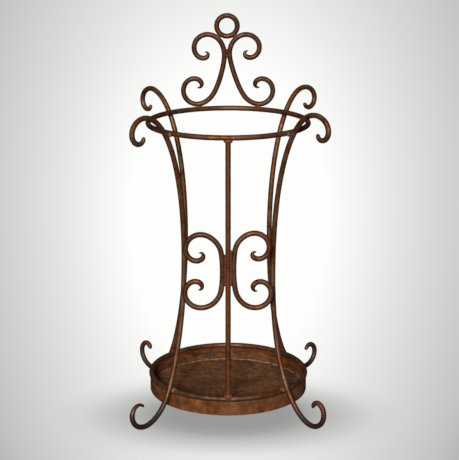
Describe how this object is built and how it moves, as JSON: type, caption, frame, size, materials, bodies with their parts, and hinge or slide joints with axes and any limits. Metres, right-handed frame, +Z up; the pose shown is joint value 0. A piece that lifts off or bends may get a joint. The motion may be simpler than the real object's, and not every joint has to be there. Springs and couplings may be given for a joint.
{
  "type": "umbrella stand",
  "caption": "Round open umbrella stand of welded wrought-iron bar with scrolled legs, a drip pan in the lower hoop, front C scrolls and a crest topped by a ring.",
  "frame": {"origin": "on the floor, under the middle of the footprint box that the four scrolled feet make", "axes": "+Z up the stand, -Y its front with the upright bar and the C scrolls, +Y its back with the crest, +X its right side seen from the front"},
  "size_m": [0.375, 0.3834, 0.7504],
  "materials": {
    "rusty_bar": "brown rust patina, satin where handled, matt in the hollows",
    "rusty_pan": "matt orange-brown rust with darker water marks",
    "weld_metal": "lumpy weld metal, rusted a paler brown"
  },
  "bodies": {
    "root": {"top_hoop": "rusty_bar", "pan_hoop": "rusty_bar", "front_bar": "rusty_bar", "leg_front_left": "rusty_bar", "leg_front_right": "rusty_bar", "leg_back_left": "rusty_bar", "leg_back_right": "rusty_bar", "c_scroll_left": "rusty_bar", "c_scroll_right": "rusty_bar", "crest_scroll_left": "rusty_bar", "crest_scroll_right": "rusty_bar", "finial_ring": "rusty_bar", "pan_band": "rusty_pan", "pan_floor": "rusty_pan", "pan_floor_seam": "weld_metal", "pan_rim_weld": "weld_metal", "weld_top_hoop_front_left": "weld_metal", "weld_top_hoop_front_right": "weld_metal", "weld_top_hoop_back_left": "weld_metal", "weld_top_hoop_back_right": "weld_metal", "weld_pan_hoop_front_left": "weld_metal", "weld_pan_hoop_front_right": "weld_metal", "weld_pan_hoop_back_left": "weld_metal", "weld_pan_hoop_back_right": "weld_metal", "weld_bar_top": "weld_metal", "weld_bar_foot": "weld_metal", "weld_c_scroll_left": "weld_metal", "weld_c_scroll_right": "weld_metal", "weld_crest_centre": "weld_metal", "weld_crest_foot_left": "weld_metal", "weld_crest_foot_right": "weld_metal", "weld_finial_left": "weld_metal", "weld_finial_right": "weld_metal"}
  },
  "joints": []
}
